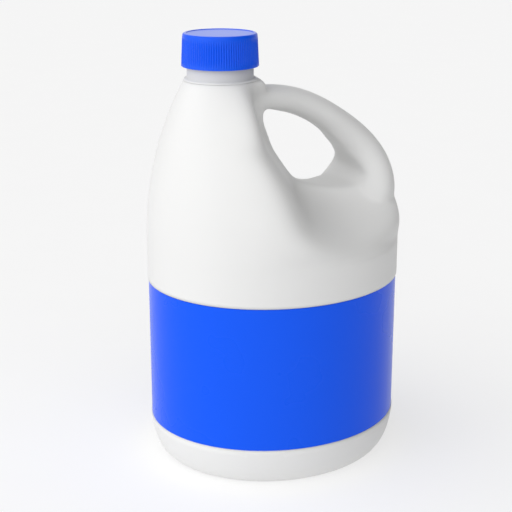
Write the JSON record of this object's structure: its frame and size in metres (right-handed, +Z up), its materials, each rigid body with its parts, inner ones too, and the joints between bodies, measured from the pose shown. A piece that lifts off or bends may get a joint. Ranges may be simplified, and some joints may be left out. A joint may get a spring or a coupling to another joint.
{
  "type": "bleach bottle",
  "caption": "Household bleach bottle with an oval body, an integral hollow handle, an off-centre neck, a blue wrap label and a ribbed blue screw cap.",
  "frame": {"origin": "centre of the standing ring under the base", "axes": "+Z up, +X towards the handle, the mould's parting plane is Y = 0"},
  "size_m": [0.1417, 0.1272, 0.2342],
  "materials": {
    "bottle_plastic": "white blow-moulded polyethylene, satin",
    "label_film": "plain blue printed film, soft gloss",
    "liner_foam": "white foamed polyethylene wad",
    "cap_plastic": "blue injection-moulded polypropylene, satin"
  },
  "bodies": {
    "bottle": {"bottle": "bottle_plastic", "label": "label_film"},
    "liner": {"liner": "liner_foam"},
    "cap": {"cap": "cap_plastic"}
  },
  "joints": [
    {"name": "cap_lift", "type": "slide", "parent": "bottle", "child": "liner", "axis": [0, 0, 1], "range_m": [0, 0.0193]},
    {"name": "cap_turn", "type": "hinge", "parent": "liner", "child": "cap", "pos_m": [-0.032, 0, 0.2257], "axis": [0, 0, 1], "range_deg": [0, 1620]}
  ],
  "couplings": [
    {"joint": "cap_lift", "follows": "cap_turn", "m_per_rad": 0.0006737}
  ]
}
